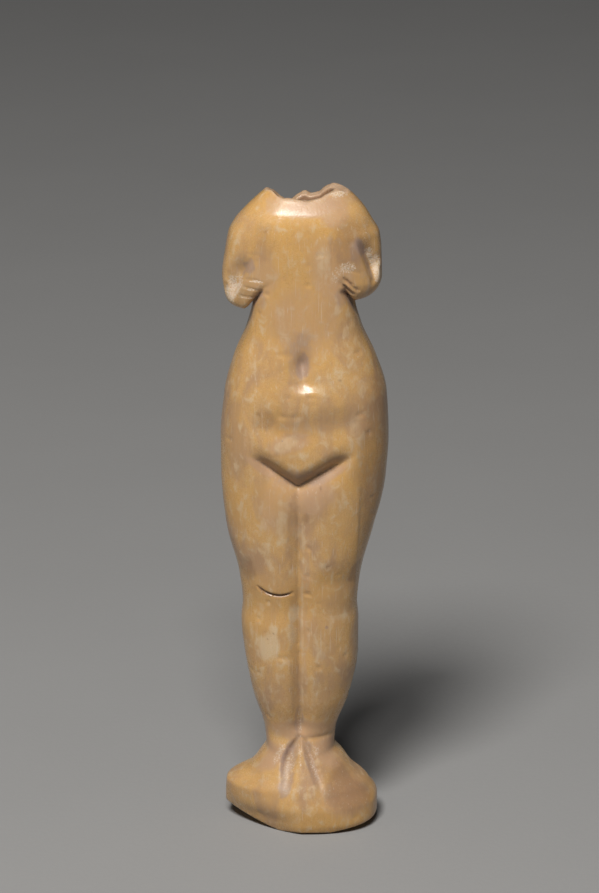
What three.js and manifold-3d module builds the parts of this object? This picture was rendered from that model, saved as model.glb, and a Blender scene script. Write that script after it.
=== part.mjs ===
// A headless standing female figurine, carved in one piece from a dense honey-coloured material.
// Millimetres, +Z up. The figure faces -Y and stands on the flat of its sole, which holds the origin.
// The form is a field that is negative inside the carving: lofted masses, then cuts, as a carver makes them.
// It becomes a faceted solid on a grid, and wedges then take the knife cuts out of it.

import * as THREE from 'three';
import Module from 'manifold-3d';

// Driving size. Every proportion below is in thousandths of it.
const FIGURE_HEIGHT = 130;

// Sizes of the places that can differ without changing the pose, in millimetres.
const NECK_HOLLOW_WIDTH = 10.6;
const NECK_HOLLOW_DEPTH = 4.4;
const SOLE_LIFT_LEFT = 3.3;
const SOLE_LIFT_RIGHT = 1.9;
const SOLE_LIFT_FRONT = 1.3;
const BELLY_CUT_DEPTH = 2.4;
const LEG_VALLEY_DEPTH = 1.4;
const ARM_HOLLOW_DEPTH = 1.6;
const NAVEL_DEPTH = 1.7;
const BELLY_FOLD_DEPTH = 0.8;
const FINGER_CUT_DEPTH = 0.6;
const KNEE_CUT_DEPTH = 0.8;
const FOOT_CUT_DEPTH = 1.4;
const SEAT_CLEFT_DEPTH = 1.5;
const FLANK_CUT_DEPTH = 1.9;

const SHARE = FIGURE_HEIGHT / 1000;
const inShares = (millimetres) => millimetres / SHARE;

// Stations of the body from the sole to the neck, in thousandths of the height:
// up, left, right, front, back, middle (the depth of the widest line), fullness of the front left and right.
const BODY = [
  [0, 113, 110, 87, 45, -10, 1.2, 2.6],
  [16, 115.5, 116, 92, 51, -10, 1.25, 2.7],
  [38, 116.5, 115.5, 93.5, 53, -12, 1.5, 2.5],
  [62, 115, 102, 86.5, 52, -14, 1.75, 2.2],
  [82, 80.5, 79, 76.5, 50, -12, 1.95, 2.2],
  [100, 65, 65, 66.5, 47, -6, 2.1, 2.2],
  [119, 54, 50, 57, 44, -1, 2.2, 2.2],
  [143, 56, 52, 47, 46, 0, 2.3, 2.3],
  [208, 74, 74, 60, 63, 0, 2.4, 2.4],
  [277, 86, 86, 67, 73, 0, 2.4, 2.4],
  [325, 90, 86, 67, 72, 0, 2.4, 2.4],
  [352, 88, 84, 66, 70, 0, 2.4, 2.4],
  [400, 93.5, 89, 72, 73, 0, 2.4, 2.4],
  [477, 112, 109, 77, 84, 0, 2.4, 2.4],
  [560, 119.5, 126, 83, 93, 0, 2.4, 2.4],
  [615, 120, 129, 87, 89, 0, 2.4, 2.4],
  [685, 114, 126, 83, 75, 0, 2.5, 2.5],
  [738, 100.5, 111, 73, 64, 0, 2.7, 2.7],
  [790, 80, 88, 62, 56, 0, 3.4, 3.4],
  [830, 71, 78, 60.5, 53.5, 0, 4.0, 4.0],
  [900, 69, 76, 59, 54, 0, 4.0, 4.0],
];

// Stations of the chest, shoulders and arms, which are one broad mass before the cuts.
const CHEST = [
  [780, 104, 92, 46, 40, 0, 2.7, 2.7],
  [832, 111, 105, 52, 46, 0, 2.7, 2.7],
  [866, 115.5, 118, 59.3, 53.4, 0, 2.6, 2.6],
  [905, 111, 117, 60, 56, 0, 2.5, 2.5],
  [930, 106.5, 114, 58.5, 55, 0, 2.4, 2.4],
  [948, 97.5, 104, 55.5, 53, 0, 2.3, 2.3],
  [966, 82, 93, 48.5, 49, 0, 2.2, 2.2],
  [984, 63, 77.5, 34.5, 44, 0, 2.1, 2.1],
  [996, 49, 63, 24, 39, 0, 2.0, 2.0],
  [1012, 30, 47, 12, 33, 0, 2.0, 2.0],
];

// The broken edge of the neck, from the left shoulder to the right: x, height in front, height behind.
const BREAK = [
  [-56, 1000, 992],
  [-43, 998, 986],
  [-31, 989, 972],
  [-18, 987, 966],
  [-6, 986, 975],
  [5, 985, 980],
  [14, 986, 977],
  [24, 988, 979],
  [34, 991, 987],
  [50, 997, 996],
  [64, 994, 992],
];

const BACK_FULLNESS = 2.4;

// Where the pieces of carving lie on the figure, in thousandths: x to the right, z up.
const ARM_LEFT = { bottom: 820, crotch: 853, inner: 55, outer: 86 };
const ARM_RIGHT = { bottom: 834, crotch: 859, inner: 57, outer: 80 };
const HOLLOW_LEFT = { elbow: [-103, 834], pit: [-77, 894], width: 30 };
const HOLLOW_RIGHT = { elbow: [106, 861], pit: [84, 921], width: 25 };
const BELLY_TIP = { x: -6, z: 556, rise: 48, left: 66, right: 78, bend: 0.95 };
const NAVEL = { x: 1, z: 746, across: 19, up: 50, down: 45 };
const BELLY_FOLD_HEIGHT = 650;
const LEG_TOP = 552;
const LEG_FOOT = 140;
const KNEE_HEIGHT = 384;
const SEAT = { low: 470, high: 620 };
const FLANK = { top: 853, bottom: 809, innerTop: 54, innerBottom: 81 };

// The grooves that part the feet: places along each, as x, z, half its width and its share of the depth.
const FOOT_CUTS = [
  [[-3, 142, 5, 0.3], [-14, 124, 10, 0.9], [-20, 104, 12.5, 1], [-22, 88, 11, 0.5], [-24, 66, 8, 0]],
  [[4, 139, 4, 0.3], [12, 120, 7, 0.6], [18, 102, 7, 0.5], [25, 84, 6, 0.3], [31, 62, 5, 0]],
];

// Knife cuts on the front: from, over and to, each x and z, and half their width.
// The cuts between the fingers are measured outwards and upwards from the arm's crotch.
const FINGERS_LEFT = [
  [[28, 19], [15, 20], [1, 17], 3.2],
  [[32, 7], [19, 6], [5, 3], 3.2],
  [[38, -8], [25, -9], [10, -8], 3],
];
const FINGERS_RIGHT = [
  [[1, 21], [12, 9], [25, -3], 4],
  [[-1, 9], [9, -1], [21, -8], 4],
];
const KNEE_CUT = [[-67, 396], [-44, 377], [-12, 390], 4.2];

const clamp = (value, low, high) => Math.min(high, Math.max(low, value));
const smoothStep = (low, high, value) => {
  const t = clamp((value - low) / (high - low), 0, 1);
  return t * t * (3 - 2 * t);
};
const smoothMax = (a, b, radius) => {
  const overlap = Math.max(radius - Math.abs(a - b), 0) / radius;
  return Math.max(a, b) + (overlap * overlap * radius) / 4;
};
const bell = (distance, width) => Math.exp(-((distance / width) ** 2));

// A smooth curve through one column of a table, with no overshoot between its stations.
function curveThrough(rows, column) {
  const at = rows.map((row) => row[0]);
  const value = rows.map((row) => row[column]);
  const last = at.length - 1;
  const slope = at.slice(1).map((_, i) => (value[i + 1] - value[i]) / (at[i + 1] - at[i]));
  const tangent = at.map((_, i) => {
    if (i === 0) return slope[0];
    if (i === last) return slope[last - 1];
    const [before, after] = [slope[i - 1], slope[i]];
    return before * after <= 0 ? 0 : (2 * before * after) / (before + after);
  });
  return (z) => {
    const h = clamp(z, at[0], at[last]);
    let i = 0;
    while (i < last - 1 && h > at[i + 1]) i += 1;
    const span = at[i + 1] - at[i];
    const t = (h - at[i]) / span;
    const rise = t * t * (3 - 2 * t);
    return (
      value[i] * (1 - rise) +
      value[i + 1] * rise +
      tangent[i] * span * t * (1 - t) ** 2 -
      tangent[i + 1] * span * t * t * (1 - t)
    );
  };
}

// A mass lofted through stations: the distance from its surface, measured out from its own axis.
function loft(rows) {
  const [left, right, front, back, middle, fullLeft, fullRight] = [1, 2, 3, 4, 5, 6, 7].map((column) =>
    curveThrough(rows, column),
  );
  return (x, y, z) => {
    const deep = y - middle(z);
    const across = x < 0 ? left(z) : right(z);
    const depth = deep < 0 ? front(z) + middle(z) : back(z) - middle(z);
    const frontFullness = x < 0 ? fullLeft(z) : fullRight(z);
    const fullness = deep < 0 ? frontFullness : BACK_FULLNESS;
    const out = Math.hypot(x, deep);
    const reach = (Math.abs(x / across) ** fullness + Math.abs(deep / depth) ** fullness) ** (1 / fullness);
    return reach < 1e-6 ? -Math.min(across, depth) : out - out / reach;
  };
}

const bodyMass = loft(BODY);
const chestMass = loft(CHEST);

// The underside of an arm: level under the elbow, climbing to the crotch beside the body.
function armUnderside(x) {
  const arm = x < 0 ? ARM_LEFT : ARM_RIGHT;
  const climb = 1 - smoothStep(arm.inner, arm.outer, Math.abs(x));
  return arm.bottom + (arm.crotch - arm.bottom) * climb;
}

// The cuts on the front are depths that depend on x and z alone.

// The hollow between the upper arm and the folded forearm: steep on the forearm's side, with a sloping floor
// that narrows to a point at the elbow.
function armHollow(x, z, hollow) {
  const [ex, ez] = hollow.elbow;
  const [px, pz] = hollow.pit;
  const length = Math.hypot(px - ex, pz - ez);
  const [ux, uz] = [(px - ex) / length, (pz - ez) / length];
  const along = ((x - ex) * ux + (z - ez) * uz) / length;
  const outward = Math.sign(ex);
  const aside = ((x - ex) * uz - (z - ez) * ux) * outward;
  const ends = smoothStep(-0.1, 0.45, along) * (1 - smoothStep(0.7, 1.25, along));
  const wall = smoothStep(-8, 5, aside);
  const width = hollow.width * (0.3 + 0.7 * smoothStep(-0.1, 0.6, along));
  const floor = 1 - smoothStep(0, width, aside);
  return inShares(ARM_HOLLOW_DEPTH) * ends * wall * floor;
}

// The lower edge of the belly: it ends in a point between the thighs and stands proud of them.
function bellyCut(x, z) {
  const side = x - BELLY_TIP.x;
  const reach = Math.hypot(side, 3) / (side < 0 ? BELLY_TIP.left : BELLY_TIP.right);
  const above = z - (BELLY_TIP.z + BELLY_TIP.rise * reach ** BELLY_TIP.bend);
  const profile = above > 0 ? (1 - clamp(above / 30, 0, 1)) ** 2 : Math.exp(above / 20);
  return inShares(BELLY_CUT_DEPTH) * profile * (1 - smoothStep(0.55, 1.08, reach));
}

function legValley(x, z) {
  const line = x + 5 - smoothStep(150, 500, 550 - z) * 5;
  const width = 13 + 8 * smoothStep(300, 480, z);
  const ends = smoothStep(LEG_FOOT - 6, LEG_FOOT + 24, z) * (1 - smoothStep(LEG_TOP - 60, LEG_TOP + 8, z));
  const crease = 0.14 * clamp(1 - Math.abs(line) / 5, 0, 1);
  return inShares(LEG_VALLEY_DEPTH) * ends * (0.8 * bell(line, width) + crease);
}

// The navel: an upright almond of a dish with a pit and a slit in it, over a full lower lip.
function navel(x, z) {
  const rise = z - NAVEL.z;
  const lip = smoothStep(-NAVEL.down, 20 - NAVEL.down, rise);
  const across = (x - NAVEL.x - 7 * (1 - smoothStep(-NAVEL.down, -8, rise))) / NAVEL.across;
  const dish = lip * (1 - smoothStep(-6, NAVEL.up, rise)) * bell(across, 1);
  const pit = bell(Math.hypot(across * 1.7, rise / 15), 1);
  const slit = bell(across * 4.2, 1) * smoothStep(-30, -14, rise) * (1 - smoothStep(-4, 10, rise));
  return inShares(NAVEL_DEPTH) * (0.52 * dish + 0.4 * pit + 0.1 * slit);
}

// A soft level fold between the navel and the lower edge of the belly.
function bellyFold(x, z) {
  const across = 1 - smoothStep(46, 96, Math.abs(x - 4));
  return inShares(BELLY_FOLD_DEPTH) * bell(z - BELLY_FOLD_HEIGHT - 0.0012 * x * x, 21) * across;
}

// A round-bottomed groove through places on the front: its share of the full depth.
function groove(x, z, places) {
  let [nearest, share] = [Infinity, 0];
  places.slice(1).forEach(([toX, toZ, toWidth, toShare], n) => {
    const [fromX, fromZ, fromWidth, fromShare] = places[n];
    const [dx, dz] = [toX - fromX, toZ - fromZ];
    const along = clamp(((x - fromX) * dx + (z - fromZ) * dz) / (dx * dx + dz * dz), 0, 1);
    const away = Math.hypot(x - fromX - along * dx, z - fromZ - along * dz);
    if (away >= nearest) return;
    nearest = away;
    const width = fromWidth + (toWidth - fromWidth) * along;
    share = (fromShare + (toShare - fromShare) * along) * clamp(1 - (away / width) ** 2, 0, 1) ** 1.5;
  });
  return share;
}

// Across the right knee the shin is a little lower than the thigh.
function kneeDip(x, z) {
  const across = smoothStep(8, 30, x) * (1 - smoothStep(60, 90, x));
  return 0.45 * inShares(KNEE_CUT_DEPTH) * bell(z - KNEE_HEIGHT - 6, 18) * across;
}

// The feet are parted by two grooves on either side of a narrow tongue.
function footCuts(x, z) {
  return inShares(FOOT_CUT_DEPTH) * Math.max(...FOOT_CUTS.map((places) => groove(x, z, places)));
}

// Below the arms the flanks are pared back, so that the front of the waist keeps an edge.
function flankCut(x, z) {
  const down = clamp((FLANK.top - z) / (FLANK.top - FLANK.bottom), 0, 1.6);
  const edge = FLANK.innerTop + (FLANK.innerBottom - FLANK.innerTop) * down;
  const below = smoothStep(FLANK.bottom - 39, FLANK.bottom, z);
  const ends = below * (1 - smoothStep(FLANK.top - 7, FLANK.top + 9, z));
  return inShares(FLANK_CUT_DEPTH) * clamp((Math.abs(x) - edge) / 11, 0, 1.5) * ends;
}

function frontCarving(x, z) {
  return (
    armHollow(x, z, x < 0 ? HOLLOW_LEFT : HOLLOW_RIGHT) +
    bellyCut(x, z) +
    legValley(x, z) +
    navel(x, z) +
    bellyFold(x, z) +
    kneeDip(x, z) +
    footCuts(x, z)
  );
}

// The back is plainer: the cleft of the seat, the fold under it, the parting of the legs and a shallow spine.
function backCarving(x, z) {
  const inSeat = smoothStep(SEAT.low - 20, SEAT.low + 40, z);
  const cleft = bell(x, 12) * inSeat * (1 - smoothStep(SEAT.high - 40, SEAT.high + 30, z));
  const sag = SEAT.low + 12 * ((Math.abs(x) - 42) / 42) ** 2;
  const fold = 0.2 * bell(z - sag, 20) * (1 - smoothStep(60, 100, Math.abs(x)));
  const parting = 0.6 * bell(x, 13) * smoothStep(LEG_FOOT - 20, LEG_FOOT + 30, z) * (1 - inSeat);
  const spine = 0.25 * bell(x, 18) * smoothStep(640, 740, z) * (1 - smoothStep(860, 960, z));
  return inShares(SEAT_CLEFT_DEPTH) * (cleft + fold + parting + spine);
}

// The break at the neck: it dips in front and lies lower behind, most of all at the back left.
const breakInFront = curveThrough(BREAK, 1);
const breakBehind = curveThrough(BREAK, 2);
function breakHeight(x, y) {
  const behind = smoothStep(-28, 28, y);
  return breakInFront(x) * (1 - behind) + breakBehind(x) * behind;
}

// The hollow in the broken neck: an oval bowl, narrower from front to back.
const NECK_HOLLOW = { x: 8, y: 1, z: 986, narrow: 0.52 };
function neckHollow(x, y, z) {
  const wide = inShares(NECK_HOLLOW_WIDTH) / 2;
  const narrow = NECK_HOLLOW.narrow * wide;
  const deep = inShares(NECK_HOLLOW_DEPTH);
  const out = Math.hypot((x - NECK_HOLLOW.x) / wide, (y - NECK_HOLLOW.y) / narrow, (z - NECK_HOLLOW.z) / deep);
  return (out - 1) * narrow;
}

// The underside: a flat to stand on, curving up to both ends and to the front.
const SOLE = { side: 115, front: -108, flatLeft: 34, flatRight: 44, flatFront: -62 };
function soleHeight(x, y) {
  const flat = x < 0 ? SOLE.flatLeft : SOLE.flatRight;
  const lift = inShares(x < 0 ? SOLE_LIFT_LEFT : SOLE_LIFT_RIGHT);
  const sideways = Math.max(Math.abs(x) - flat, 0) / (SOLE.side - flat);
  const forwards = Math.max(SOLE.flatFront - y, 0) / (SOLE.flatFront - SOLE.front);
  return lift * sideways ** 1.05 + inShares(SOLE_LIFT_FRONT) * forwards ** 1.6;
}

// The whole figure, in thousandths of its height.
function figureField(x, y, z) {
  const [inFront, behind] = [smoothStep(0, 14, -y), smoothStep(0, 14, y)];
  const torso = smoothMax(bodyMass(x, y, z), z - 900, 10) + flankCut(x, z) * inFront;
  const chest = smoothMax(chestMass(x, y, z), armUnderside(x) - z, 20);
  let surface = Math.min(torso, chest) + frontCarving(x, z) * inFront + backCarving(x, z) * behind;
  surface = Math.max(surface, z - breakHeight(x, y));
  surface = Math.max(surface, -neckHollow(x, y, z));
  return Math.max(surface, soleHeight(x, y) - z);
}

// Grid lines from one end to the other, closer together inside the named bands [low, high, spacing].
function gridLines(low, high, spacing, bands) {
  const lines = [low];
  while (lines[lines.length - 1] < high) {
    const here = lines[lines.length - 1];
    const band = bands.find(([from, to]) => here >= from && here < to);
    lines.push(here + (band ? band[2] : spacing));
  }
  return lines;
}

// The upright grid lines lean in and out with the figure: their spread at each height, across and in depth.
const SPREAD = [
  [-20, 0.96, 1],
  [70, 0.96, 0.98],
  [125, 0.5, 0.62],
  [280, 0.74, 0.82],
  [480, 0.95, 0.96],
  [600, 1, 1],
  [780, 0.92, 0.78],
  [900, 0.94, 0.7],
  [950, 0.86, 0.66],
  [1000, 0.56, 0.5],
  [1040, 0.5, 0.46],
];
const spreadAcross = curveThrough(SPREAD, 1);
const spreadInDepth = curveThrough(SPREAD, 2);

// The surface of a field on a grid of boxes: one vertex in each box that the surface crosses, pulled onto it.
function surfaceOf(field, xs, ys, zs) {
  const index = (i, j, k) => (k * ys.length + j) * xs.length + i;
  const [across, inDepth] = [zs.map(spreadAcross), zs.map(spreadInDepth)];
  const corner = (i, j, k) => new THREE.Vector3(xs[i] * across[k], ys[j] * inDepth[k], zs[k]);
  const value = new Float64Array(xs.length * ys.length * zs.length);
  zs.forEach((z, k) => ys.forEach((y, j) => xs.forEach((x, i) => {
    value[index(i, j, k)] = field(...corner(i, j, k).toArray());
  })));
  closeDiagonalGaps(value, [1, xs.length, xs.length * ys.length]);
  const inside = (i, j, k) => value[index(i, j, k)] < 0;
  const vertexOf = new Map();
  const positions = [];

  const corners = [0, 1, 2, 3, 4, 5, 6, 7].map((n) => [n & 1, (n >> 1) & 1, n >> 2]);
  const stepsApart = (a, b) => a.reduce((sum, at, axis) => sum + Math.abs(at - b[axis]), 0);
  const edges = corners.flatMap((a, m) =>
    corners.slice(m + 1).filter((b) => stepsApart(a, b) === 1).map((b) => [a, b]));

  function boxVertex(i, j, k) {
    const key = index(i, j, k);
    if (vertexOf.has(key)) return vertexOf.get(key);
    const crossings = [];
    for (const [a, b] of edges) {
      const [va, vb] = [a, b].map(([p, q, r]) => value[index(i + p, j + q, k + r)]);
      if (va < 0 === vb < 0) continue;
      const [pa, pb] = [a, b].map(([p, q, r]) => corner(i + p, j + q, k + r));
      crossings.push(crossingOn(field, pa, pb, va, vb));
    }
    const point = meetingPoint(crossings);
    point.z = clamp(point.z, zs[k], zs[k + 1]);
    const [wide, deep] = [spreadAcross(point.z), spreadInDepth(point.z)];
    point.x = clamp(point.x, xs[i] * wide, xs[i + 1] * wide);
    point.y = clamp(point.y, ys[j] * deep, ys[j + 1] * deep);
    vertexOf.set(key, positions.length / 3);
    positions.push(point.x, point.y, point.z);
    return vertexOf.get(key);
  }

  const placeOf = (vertex) => new THREE.Vector3().fromArray(positions, vertex * 3);
  const apart = (a, b) => placeOf(a).distanceTo(placeOf(b));
  const faces = [];
  function addQuad(a, b, c, d, outward) {
    const [p, q, r, s] = outward ? [a, b, c, d] : [d, c, b, a];
    if (apart(p, r) <= apart(q, s)) faces.push(p, q, r, p, r, s);
    else faces.push(q, r, s, q, s, p);
  }
  for (let k = 1; k < zs.length - 1; k += 1) {
    for (let j = 1; j < ys.length - 1; j += 1) {
      for (let i = 1; i < xs.length - 1; i += 1) {
        const here = inside(i, j, k);
        const at = (a, b, c) => boxVertex(i - a, j - b, k - c);
        if (here !== inside(i + 1, j, k)) addQuad(at(0, 1, 1), at(0, 0, 1), at(0, 0, 0), at(0, 1, 0), here);
        if (here !== inside(i, j + 1, k)) addQuad(at(1, 0, 1), at(1, 0, 0), at(0, 0, 0), at(0, 0, 1), here);
        if (here !== inside(i, j, k + 1)) addQuad(at(1, 1, 0), at(0, 1, 0), at(0, 0, 0), at(1, 0, 0), here);
      }
    }
  }
  return { positions, faces };
}

// Two filled corners that touch only across a square of the grid would leave a surface with a pinched edge.
// Such a square is filled, and the next round looks at its neighbours again.
function closeDiagonalGaps(value, strides) {
  const filled = -1e-3;
  const planes = [[0, 1], [1, 2], [0, 2]].map((pair) => pair.map((axis) => strides[axis]));
  let changed = true;
  while (changed) {
    changed = false;
    for (let at = 0; at + strides[0] + strides[1] + strides[2] < value.length; at += 1) {
      for (const [u, v] of planes) {
        const square = [at, at + u, at + u + v, at + v];
        const [a, b, c, d] = square.map((corner) => value[corner] < 0);
        if (a !== c || b !== d || a === b) continue;
        square.filter((corner) => value[corner] >= 0).forEach((corner) => { value[corner] = filled; });
        changed = true;
      }
    }
  }
}

// Where a grid edge meets the surface, and the direction the surface faces there.
function crossingOn(field, from, to, valueFrom, valueTo) {
  let [low, high, lowValue, highValue] = [0, 1, valueFrom, valueTo];
  let at = lowValue / (lowValue - highValue);
  const point = new THREE.Vector3();
  for (let round = 0; round < 3; round += 1) {
    const here = field(...point.lerpVectors(from, to, at).toArray());
    if (here < 0 === lowValue < 0) [low, lowValue] = [at, here];
    else [high, highValue] = [at, here];
    at = low + ((high - low) * lowValue) / (lowValue - highValue);
  }
  point.lerpVectors(from, to, at);
  const step = 0.6;
  const facing = new THREE.Vector3(
    field(point.x + step, point.y, point.z) - field(point.x - step, point.y, point.z),
    field(point.x, point.y + step, point.z) - field(point.x, point.y - step, point.z),
    field(point.x, point.y, point.z + step) - field(point.x, point.y, point.z - step),
  ).normalize();
  return { point, facing };
}

// The point nearest to the planes of all crossings of a box: on an edge or corner of the form if it has one.
function meetingPoint(crossings) {
  const middle = new THREE.Vector3();
  crossings.forEach(({ point }) => middle.add(point));
  middle.divideScalar(crossings.length);
  const hold = 0.08;
  const [a, b] = [[hold, 0, 0, 0, hold, 0, 0, 0, hold], [0, 0, 0]];
  for (const { point, facing } of crossings) {
    const n = facing.toArray();
    const gap = facing.dot(point) - facing.dot(middle);
    n.forEach((u, row) => {
      n.forEach((v, column) => { a[row * 3 + column] += u * v; });
      b[row] += u * gap;
    });
  }
  return new THREE.Vector3(...b).applyMatrix3(new THREE.Matrix3(...a).invert()).add(middle);
}

const wasm = await Module();
wasm.setup();

function solidOf({ positions, faces }) {
  return new wasm.Manifold(new wasm.Mesh({
    numProp: 3,
    vertProperties: new Float32Array(positions),
    triVerts: new Uint32Array(faces),
  }));
}

// The front of the figure at a place: the depth at which a line from before it first meets it.
function frontOf(x, z) {
  let [outside, inside] = [-140, -140];
  while (inside < 0 && figureField(x, inside, z) > 0) {
    outside = inside;
    inside += 4;
  }
  for (let round = 0; round < 12; round += 1) {
    const middle = (outside + inside) / 2;
    if (figureField(x, middle, z) > 0) outside = middle;
    else inside = middle;
  }
  return outside;
}

// The wedge that a knife cut takes away: a V section that runs out to nothing at both ends.
function wedge([from, over, to, halfWidth], depth) {
  const stations = 8;
  const proud = 4;
  const [positions, faces] = [[], []];
  const path = new THREE.QuadraticBezierCurve(...[from, over, to].map((place) => new THREE.Vector2(...place)));
  for (let n = 0; n <= stations; n += 1) {
    const t = n / stations;
    const deep = inShares(depth) * (1 - (2 * t - 1) ** 4);
    const open = (halfWidth * (deep + proud)) / inShares(depth);
    const at = path.getPoint(t);
    const along = path.getTangent(t);
    const beside = (side) => [at.x - side * along.y * open, at.y + side * along.x * open];
    const [left, right] = [beside(-1), beside(1)];
    positions.push(left[0], frontOf(...left) - proud, left[1]);
    positions.push(right[0], frontOf(...right) - proud, right[1]);
    positions.push(at.x, frontOf(at.x, at.y) + deep, at.y);
  }
  for (let n = 0; n < stations; n += 1) {
    for (const [a, b] of [[0, 1], [1, 2], [2, 0]]) {
      const [near, far] = [3 * n, 3 * n + 3];
      faces.push(near + b, near + a, far + b, far + b, near + a, far + a);
    }
  }
  const last = 3 * stations;
  faces.push(0, 1, 2, last, last + 2, last + 1);
  return { positions, faces };
}

// The grid reaches past the widest stations by more than one of its own spaces.
const MARGIN = 22;
const widest = (column) => 1.04 * Math.max(...[...BODY, ...CHEST].map((row) => row[column])) + MARGIN;
const highest = Math.max(...BREAK.map((row) => row[1])) + MARGIN;
const acrossLines = gridLines(-widest(1), widest(2), 19, [[-34, 34, 9]]);
const depthLines = gridLines(-widest(3), widest(4), 18, []);
const upLines = gridLines(-MARGIN, highest, 26, [
  [-MARGIN, 150, 11],
  [350, 405, 14],
  [535, 625, 9],
  [700, 800, 12],
  [800, 900, 8.5],
  [900, 960, 13],
  [960, 1024, 7],
]);

// The cuts of one hand, placed from its arm's crotch on its own side.
function handCuts(cuts, arm, side) {
  const place = ([out, up]) => [side * (arm.inner + out), arm.crotch + up];
  return cuts.map(([from, over, to, halfWidth]) => [place(from), place(over), place(to), halfWidth]);
}

const fingerCuts = [...handCuts(FINGERS_LEFT, ARM_LEFT, -1), ...handCuts(FINGERS_RIGHT, ARM_RIGHT, 1)];
let carved = solidOf(surfaceOf(figureField, acrossLines, depthLines, upLines));
fingerCuts.forEach((cut) => { carved = carved.subtract(solidOf(wedge(cut, FINGER_CUT_DEPTH))); });
carved = carved.subtract(solidOf(wedge(KNEE_CUT, KNEE_CUT_DEPTH)));

const { vertProperties, triVerts } = carved.getMesh();
const geometry = new THREE.BufferGeometry();
geometry.setAttribute('position', new THREE.BufferAttribute(vertProperties, 3));
geometry.setIndex(new THREE.BufferAttribute(triVerts, 1));
geometry.scale(SHARE, SHARE, SHARE);

const figurine = new THREE.Mesh(
  geometry,
  new THREE.MeshStandardMaterial({ color: 0xc09358, roughness: 0.4, metalness: 0 }),
);
figurine.name = 'figurine';

const figure = new THREE.Group();
figure.add(figurine);

export default figure;
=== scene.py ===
"""A headless standing figurine, carved in one piece from a dense honey-coloured material and polished."""

import math

import bpy
import numpy as np
from bpy.props import FloatProperty, FloatVectorProperty, PointerProperty
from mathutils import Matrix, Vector


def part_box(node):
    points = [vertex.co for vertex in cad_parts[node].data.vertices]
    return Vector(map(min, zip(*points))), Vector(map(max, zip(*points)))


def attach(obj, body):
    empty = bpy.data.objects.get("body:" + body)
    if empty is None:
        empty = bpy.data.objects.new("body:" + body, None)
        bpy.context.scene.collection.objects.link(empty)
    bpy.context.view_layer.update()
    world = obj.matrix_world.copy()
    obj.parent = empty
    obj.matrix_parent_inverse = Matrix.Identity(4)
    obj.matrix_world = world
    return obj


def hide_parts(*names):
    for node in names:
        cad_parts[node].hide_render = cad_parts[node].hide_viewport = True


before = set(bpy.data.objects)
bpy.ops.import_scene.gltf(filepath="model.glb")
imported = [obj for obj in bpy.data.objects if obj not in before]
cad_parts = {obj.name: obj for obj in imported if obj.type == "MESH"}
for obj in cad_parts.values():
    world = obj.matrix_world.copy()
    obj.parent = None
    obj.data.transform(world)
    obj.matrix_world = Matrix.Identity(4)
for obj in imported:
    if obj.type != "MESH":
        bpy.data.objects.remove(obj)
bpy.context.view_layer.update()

bl_info = {
    "name": "Carved figurine",
    "version": (1, 0, 0),
    "blender": (4, 5, 0),
    "location": "View3D > Sidebar > Figurine",
    "description": "Carves the figurine, finishes its surface and sets it on a studio floor",
    "category": "Object",
}

BODY_NAME = "root"
NODE_NAME = "figurine"
NODE_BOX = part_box(NODE_NAME)

# All places on the figure are in thousandths of its height: x to the right, y to the back, z up.
FIGURE_HEIGHT = 0.130
SHARE = FIGURE_HEIGHT / 1000

# Stations of the body from the sole to the neck:
# up, left, right, front, back, middle (the depth of the widest line), fullness of the front left and right.
BODY = [
    (0, 113, 110, 87, 45, -10, 1.2, 2.6),
    (16, 115.5, 116, 92, 51, -10, 1.25, 2.7),
    (38, 116.5, 115.5, 93.5, 53, -12, 1.5, 2.5),
    (62, 115, 102, 86.5, 52, -14, 1.75, 2.2),
    (82, 80.5, 79, 76.5, 50, -12, 1.95, 2.2),
    (100, 65, 65, 66.5, 47, -6, 2.1, 2.2),
    (119, 54, 50, 57, 44, -1, 2.2, 2.2),
    (143, 56, 52, 47, 46, 0, 2.3, 2.3),
    (208, 74, 74, 60, 63, 0, 2.4, 2.4),
    (277, 86, 86, 67, 73, 0, 2.4, 2.4),
    (325, 90, 86, 67, 72, 0, 2.4, 2.4),
    (352, 88, 84, 66, 70, 0, 2.4, 2.4),
    (400, 93.5, 89, 72, 73, 0, 2.4, 2.4),
    (477, 112, 109, 77, 84, 0, 2.4, 2.4),
    (560, 119.5, 126, 83, 93, 0, 2.4, 2.4),
    (615, 120, 129, 87, 89, 0, 2.4, 2.4),
    (685, 114, 126, 83, 75, 0, 2.5, 2.5),
    (738, 100.5, 111, 73, 64, 0, 2.7, 2.7),
    (790, 80, 88, 62, 56, 0, 3.4, 3.4),
    (830, 71, 78, 60.5, 53.5, 0, 4.0, 4.0),
    (900, 69, 76, 59, 54, 0, 4.0, 4.0),
]

# Stations of the chest, shoulders and arms, which are one broad mass before the cuts.
CHEST = [
    (780, 104, 92, 46, 40, 0, 2.7, 2.7),
    (832, 111, 105, 52, 46, 0, 2.7, 2.7),
    (866, 115.5, 118, 59.3, 53.4, 0, 2.6, 2.6),
    (905, 111, 117, 60, 56, 0, 2.5, 2.5),
    (930, 106.5, 114, 58.5, 55, 0, 2.4, 2.4),
    (948, 97.5, 104, 55.5, 53, 0, 2.3, 2.3),
    (966, 82, 93, 48.5, 49, 0, 2.2, 2.2),
    (984, 63, 77.5, 34.5, 44, 0, 2.1, 2.1),
    (996, 49, 63, 24, 39, 0, 2.0, 2.0),
    (1012, 30, 47, 12, 33, 0, 2.0, 2.0),
]

# The broken edge of the neck from left to right: x, height in front, height behind.
BREAK = [
    (-56, 1000, 992),
    (-43, 998, 986),
    (-31, 989, 972),
    (-18, 987, 966),
    (-6, 986, 975),
    (5, 985, 980),
    (14, 986, 977),
    (24, 988, 979),
    (34, 991, 987),
    (50, 997, 996),
    (64, 994, 992),
]

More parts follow.
